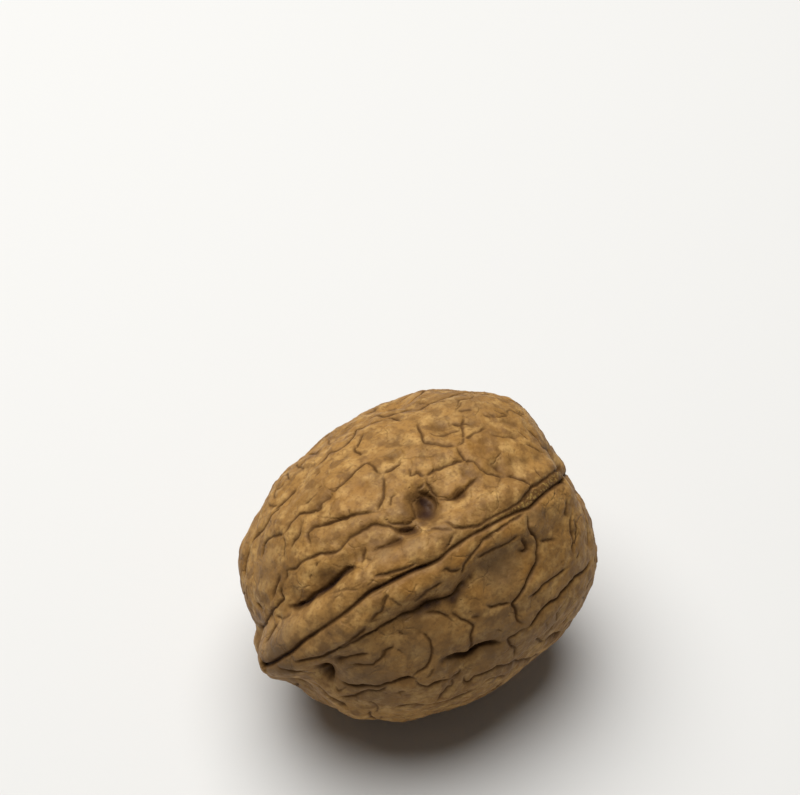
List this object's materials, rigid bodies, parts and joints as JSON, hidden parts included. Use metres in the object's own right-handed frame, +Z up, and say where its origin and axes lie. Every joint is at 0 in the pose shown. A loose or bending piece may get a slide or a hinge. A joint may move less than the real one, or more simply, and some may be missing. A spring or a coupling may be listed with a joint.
{
  "type": "walnut",
  "caption": "Whole walnut in its closed, furrowed shell with a seam ridge and a pointed tip, lying on its side.",
  "frame": {"origin": "on the surface the nut lies on, under the middle of its bounding box", "axes": "+X along the nut from its pointed tip towards its blunt base, +Z up, -Y the side that the seam leans to"},
  "size_m": [0.0412, 0.034, 0.0334],
  "materials": {
    "shell": "dry woody nutshell, satin tan pads with dark brown furrows"
  },
  "bodies": {
    "root": {"walnut": "shell"}
  },
  "joints": []
}
